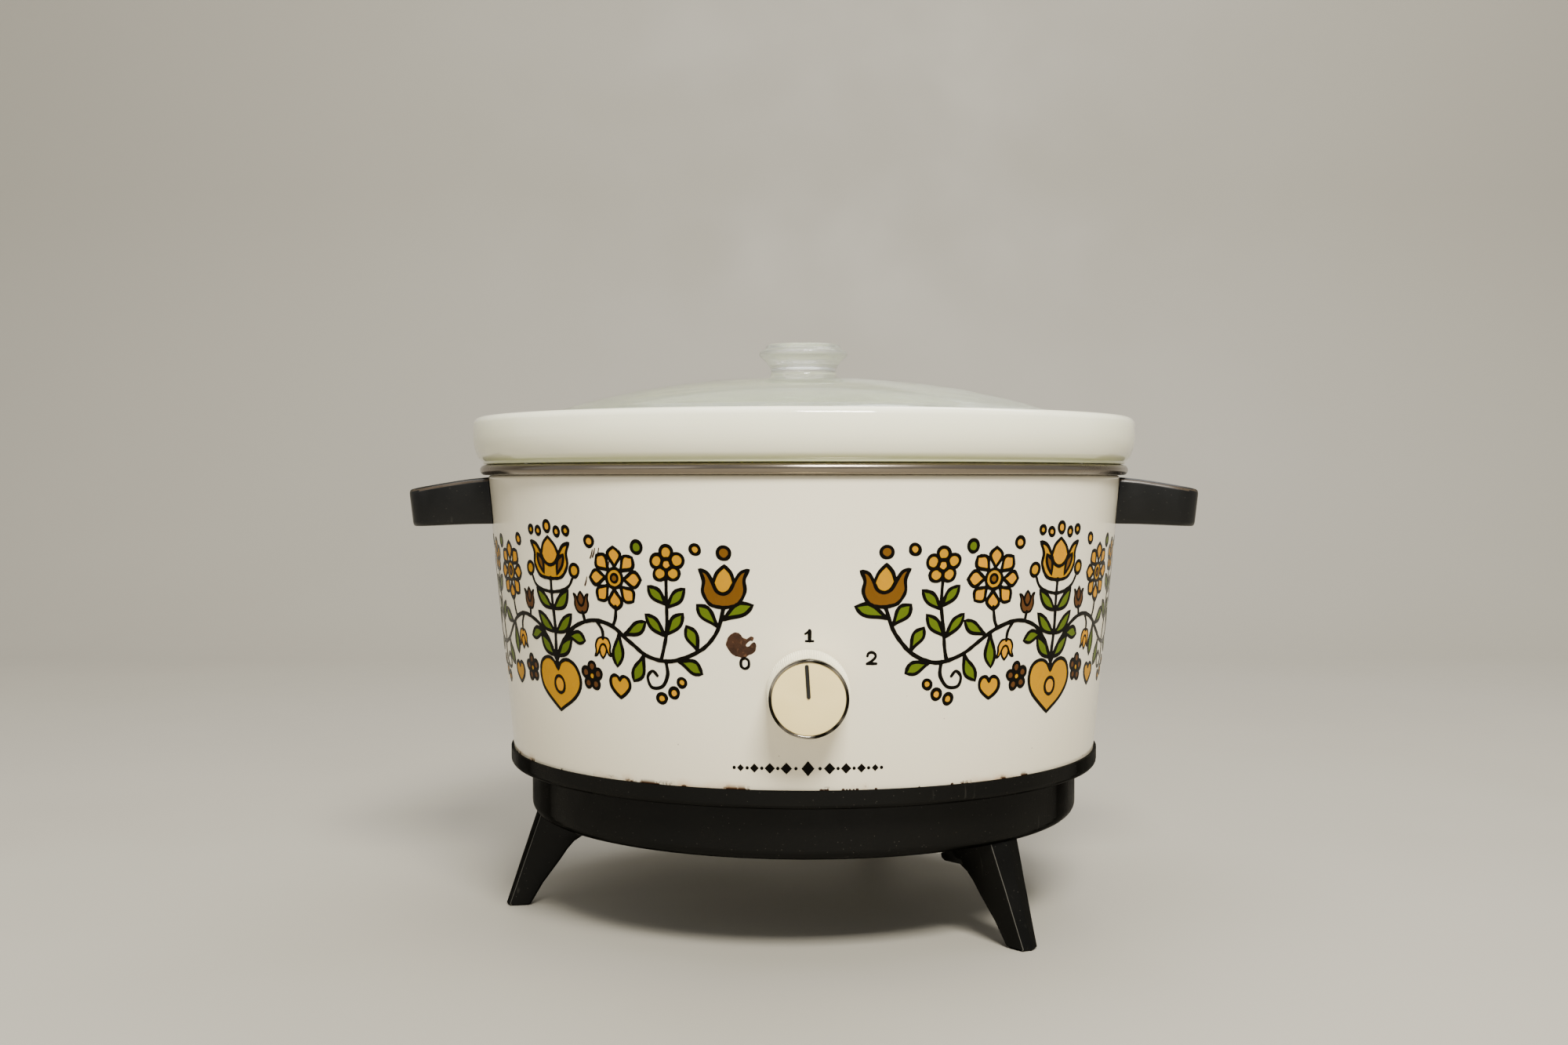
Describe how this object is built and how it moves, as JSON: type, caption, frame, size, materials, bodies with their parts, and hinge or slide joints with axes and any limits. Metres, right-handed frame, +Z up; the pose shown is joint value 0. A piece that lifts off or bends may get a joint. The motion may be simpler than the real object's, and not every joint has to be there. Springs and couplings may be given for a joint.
{
  "type": "slow cooker",
  "caption": "Round slow cooker on three splayed legs: lift-out glass crock and glass lid in a tapered steel housing with side handles, a rear inlet and a front heat knob.",
  "frame": {"origin": "on the table under the pot's centre", "axes": "+Z up, -Y towards the control knob, +X towards the right handle as seen from the knob"},
  "size_m": [0.3506, 0.305, 0.2515],
  "materials": {
    "lid_glass": "gloss",
    "opal_glass": "gloss",
    "enamel": "gloss",
    "ring_steel": "satin",
    "well_aluminium": "satin",
    "band_steel": "satin",
    "zinc_steel": "satin",
    "wool": "matte",
    "black_phenolic": "satin",
    "brown_phenolic": "satin",
    "brass": "satin",
    "cream_plastic": "gloss",
    "cream_face": "satin",
    "chrome": "gloss",
    "black_mark": "matte",
    "black_lead": "matte",
    "white_lead": "matte",
    "red_lead": "matte",
    "yellow_lead": "matte"
  },
  "bodies": {
    "cooker": {"trim_ring": "ring_steel", "housing_shell": "enamel", "heat_well": "well_aluminium", "low_heat_band": "band_steel", "high_heat_band": "band_steel", "band_bolts": "zinc_steel", "band_nuts": "zinc_steel", "insulation_wrap": "wool", "heat_shield": "well_aluminium", "centre_stud": "zinc_steel", "upper_spacer": "zinc_steel", "lower_spacer": "zinc_steel", "base_tray": "black_phenolic", "bottom_plate": "zinc_steel", "centre_washer": "zinc_steel", "centre_nut": "zinc_steel", "leg_right": "black_phenolic", "leg_rear": "black_phenolic", "leg_left": "black_phenolic", "leg_screws": "zinc_steel", "handle_left": "black_phenolic", "handle_right": "black_phenolic", "handle_screws": "zinc_steel", "switch_body": "brown_phenolic", "switch_bushing": "brass", "switch_washer": "zinc_steel", "switch_nut": "brass", "switch_terminals": "brass", "thermostat_disc": "brown_phenolic", "thermostat_strap": "well_aluminium", "inlet_shroud": "black_phenolic", "inlet_pins": "chrome", "inlet_screws": "zinc_steel", "inlet_nuts": "zinc_steel", "lead_live": "black_lead", "lead_neutral": "white_lead", "lead_low": "red_lead", "lead_high": "yellow_lead"},
    "crock": {"crock": "opal_glass"},
    "lid": {"glass_lid": "lid_glass"},
    "knob": {"control_knob": "cream_plastic", "knob_bezel": "chrome", "knob_face": "cream_face", "knob_pointer": "black_mark", "knob_clip": "zinc_steel", "switch_shaft": "zinc_steel", "switch_rotor": "brown_phenolic"}
  },
  "joints": [
    {"name": "crock_lift", "type": "slide", "parent": "cooker", "child": "crock", "axis": [0, 0, 1], "range_m": [0, 0.16]},
    {"name": "lid_lift", "type": "slide", "parent": "crock", "child": "lid", "axis": [0, 0, 1], "range_m": [0, 0.1]},
    {"name": "knob_turn", "type": "hinge", "parent": "cooker", "child": "knob", "pos_m": [0, -0.13526, 0.11], "axis": [0, 0.9956, 0.094], "range_deg": [-52.3, 59.7]}
  ]
}
